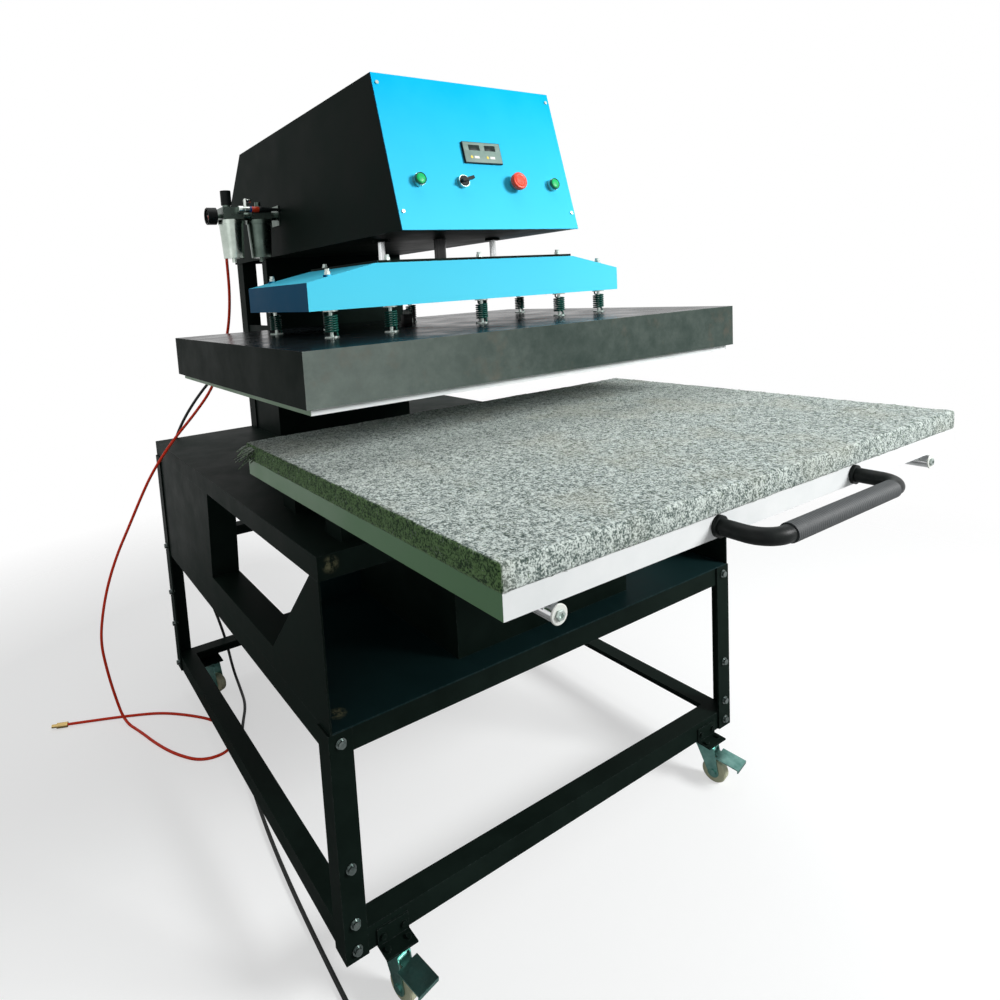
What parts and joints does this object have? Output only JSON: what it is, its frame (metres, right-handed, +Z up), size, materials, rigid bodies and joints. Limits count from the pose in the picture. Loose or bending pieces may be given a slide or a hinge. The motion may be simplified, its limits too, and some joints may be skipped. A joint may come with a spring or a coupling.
{
  "type": "pneumatic heat press",
  "caption": "Large-format air-driven heat press with a pull-out padded bed, a sprung platen under a guided beam, a slanted control panel and a castered stand",
  "frame": {"origin": "on the floor, under the middle of the press without its hose and cable", "axes": "+X to the operator's right, +Y to the back, +Z up; the bed pulls out towards -Y"},
  "size_m": [1.6522, 2.0741, 1.909],
  "materials": {
    "black_paint": "black powder coat",
    "cyan_paint": "bright blue powder coat",
    "cover_black": "glossy black enamel",
    "zinc": "zinc plated",
    "chrome_steel": "hard chrome",
    "white_aluminium": "machined",
    "spring_green": "dark green paint",
    "felt": "speckled felt",
    "mineral_wool": "pressed board",
    "black_plastic": "moulded",
    "grip_rubber": "ribbed grip",
    "red_plastic": "moulded",
    "green_plastic": "moulded",
    "yellow_plastic": "moulded",
    "grey_plastic": "moulded",
    "cast_metal": "die cast",
    "cream_nylon": "moulded wheel",
    "red_hose": "translucent tube",
    "cable_jacket": "cable jacket",
    "brass_fitting": "turned"
  },
  "bodies": {
    "frame": {"stand_legs": "black_paint", "stand_rails": "black_paint", "frame_bolts": "zinc", "shelf_plate": "black_paint", "side_frame_left": "black_paint", "side_frame_right": "black_paint", "base_housing": "black_paint", "table_top": "black_paint", "column_frame": "black_paint", "arm_frame": "black_paint", "head_cover": "black_paint", "control_panel": "cyan_paint", "panel_screws": "zinc", "controller_housing": "black_plastic", "switch_barrels": "zinc", "cylinder_barrel": "cast_metal", "guide_bushings": "black_paint", "frl_body": "cast_metal", "filter_bowl": "cast_metal", "oiler_bowl": "black_plastic", "pressure_gauge": "black_plastic", "slide_bearings": "black_paint", "caster_plates": "black_paint", "air_hose": "red_hose", "hose_connector": "brass_fitting", "power_cable": "cable_jacket", "cable_coil": "cable_jacket", "power_plug": "black_plastic"},
    "bed": {"bed_plate": "white_aluminium", "bed_pad": "felt", "slide_shafts": "chrome_steel", "handle_arms": "black_plastic", "handle_grip": "grip_rubber"},
    "press_beam": {"beam_cover": "cyan_paint", "beam_top_plate": "black_paint", "guide_posts": "chrome_steel", "press_springs": "spring_green", "spring_washers": "zinc"},
    "platen": {"platen_cover": "cover_black", "press_plate": "white_aluminium", "insulation_board": "mineral_wool", "spring_bolts": "zinc"},
    "button_left": {"start_button_left": "green_plastic"},
    "button_right": {"start_button_right": "green_plastic"},
    "stop_button": {"estop_head": "red_plastic"},
    "selector": {"selector_lever": "black_plastic"},
    "knob": {"regulator_knob": "black_plastic"},
    "needle": {"gauge_needle": "red_plastic"},
    "key_temperature": {"temperature_key": "yellow_plastic"},
    "key_time": {"time_key": "yellow_plastic"},
    "fork_front_left": {"caster_fork_front_left": "zinc"},
    "wheel_front_left": {"caster_wheel_front_left": "cream_nylon"},
    "fork_front_right": {"caster_fork_front_right": "zinc"},
    "wheel_front_right": {"caster_wheel_front_right": "cream_nylon"},
    "fork_back_left": {"caster_fork_back_left": "zinc"},
    "wheel_back_left": {"caster_wheel_back_left": "cream_nylon"},
    "fork_back_right": {"caster_fork_back_right": "zinc"},
    "wheel_back_right": {"caster_wheel_back_right": "cream_nylon"},
    "pedal_left": {"brake_pedal_left": "zinc"},
    "pedal_right": {"brake_pedal_right": "zinc"}
  },
  "joints": [
    {"name": "bed_slide", "type": "slide", "parent": "frame", "child": "bed", "axis": [0, 1, 0], "range_m": [0, 0.518]},
    {"name": "press_slide", "type": "slide", "parent": "frame", "child": "press_beam", "axis": [0, 0, -1], "range_m": [0, 0.104]},
    {"name": "platen_float", "type": "slide", "parent": "press_beam", "child": "platen", "axis": [0, 0, 1], "range_m": [0, 0.008], "stiffness_N_per_m": 80000, "springref_m": -0.012, "deforming": ["press_springs"]},
    {"name": "start_left_push", "type": "slide", "parent": "frame", "child": "button_left", "axis": [0, 0.9651, -0.262], "range_m": [0, 0.004], "stiffness_N_per_m": 700, "springref_m": -0.002},
    {"name": "start_right_push", "type": "slide", "parent": "frame", "child": "button_right", "axis": [0, 0.9651, -0.262], "range_m": [0, 0.004], "stiffness_N_per_m": 700, "springref_m": -0.002},
    {"name": "stop_push", "type": "slide", "parent": "frame", "child": "stop_button", "axis": [0, 0.9651, -0.262], "range_m": [0, 0.004]},
    {"name": "selector_turn", "type": "hinge", "parent": "frame", "child": "selector", "pos_m": [-0.0765, -0.16311, 1.65808], "axis": [0, -0.9651, 0.262], "range_deg": [0, 90]},
    {"name": "temperature_key_push", "type": "slide", "parent": "frame", "child": "key_temperature", "axis": [0, 0.9651, -0.262], "range_m": [0, 0.001], "stiffness_N_per_m": 400, "springref_m": -0.001},
    {"name": "time_key_push", "type": "slide", "parent": "frame", "child": "key_time", "axis": [0, 0.9651, -0.262], "range_m": [0, 0.001], "stiffness_N_per_m": 400, "springref_m": -0.001},
    {"name": "pressure_knob_turn", "type": "hinge", "parent": "frame", "child": "knob", "pos_m": [-0.421, 0.559, 1.72], "axis": [0, 0, 1], "range_deg": [-180, 180]},
    {"name": "gauge_needle_turn", "type": "hinge", "parent": "frame", "child": "needle", "pos_m": [-0.476, 0.559, 1.665], "axis": [-1, 0, 0], "range_deg": [0, 270]},
    {"name": "swivel_front_left", "type": "hinge", "parent": "frame", "child": "fork_front_left", "pos_m": [-0.508, -0.379, 0.1], "axis": [0, 0, 1], "continuous": true},
    {"name": "roll_front_left", "type": "hinge", "parent": "fork_front_left", "child": "wheel_front_left", "pos_m": [-0.50301, -0.40248, 0.032], "axis": [0.9781, 0.2079, 0], "continuous": true},
    {"name": "brake_left", "type": "hinge", "parent": "fork_front_left", "child": "pedal_left", "pos_m": [-0.50426, -0.39661, 0.086], "axis": [0.9781, 0.2079, 0], "range_deg": [0, 15]},
    {"name": "swivel_front_right", "type": "hinge", "parent": "frame", "child": "fork_front_right", "pos_m": [0.508, -0.379, 0.1], "axis": [0, 0, 1], "continuous": true},
    {"name": "roll_front_right", "type": "hinge", "parent": "fork_front_right", "child": "wheel_front_right", "pos_m": [0.51299, -0.40248, 0.032], "axis": [0.9781, 0.2079, 0], "continuous": true},
    {"name": "brake_right", "type": "hinge", "parent": "fork_front_right", "child": "pedal_right", "pos_m": [0.51174, -0.39661, 0.086], "axis": [0.9781, 0.2079, 0], "range_deg": [0, 15]},
    {"name": "swivel_back_left", "type": "hinge", "parent": "frame", "child": "fork_back_left", "pos_m": [-0.508, 0.959, 0.1], "axis": [0, 0, 1], "continuous": true},
    {"name": "roll_back_left", "type": "hinge", "parent": "fork_back_left", "child": "wheel_back_left", "pos_m": [-0.496, 0.93822, 0.032], "axis": [0.866, 0.5, 0], "continuous": true},
    {"name": "swivel_back_right", "type": "hinge", "parent": "frame", "child": "fork_back_right", "pos_m": [0.508, 0.959, 0.1], "axis": [0, 0, 1], "continuous": true},
    {"name": "roll_back_right", "type": "hinge", "parent": "fork_back_right", "child": "wheel_back_right", "pos_m": [0.52, 0.93822, 0.032], "axis": [0.866, 0.5, 0], "continuous": true}
  ]
}
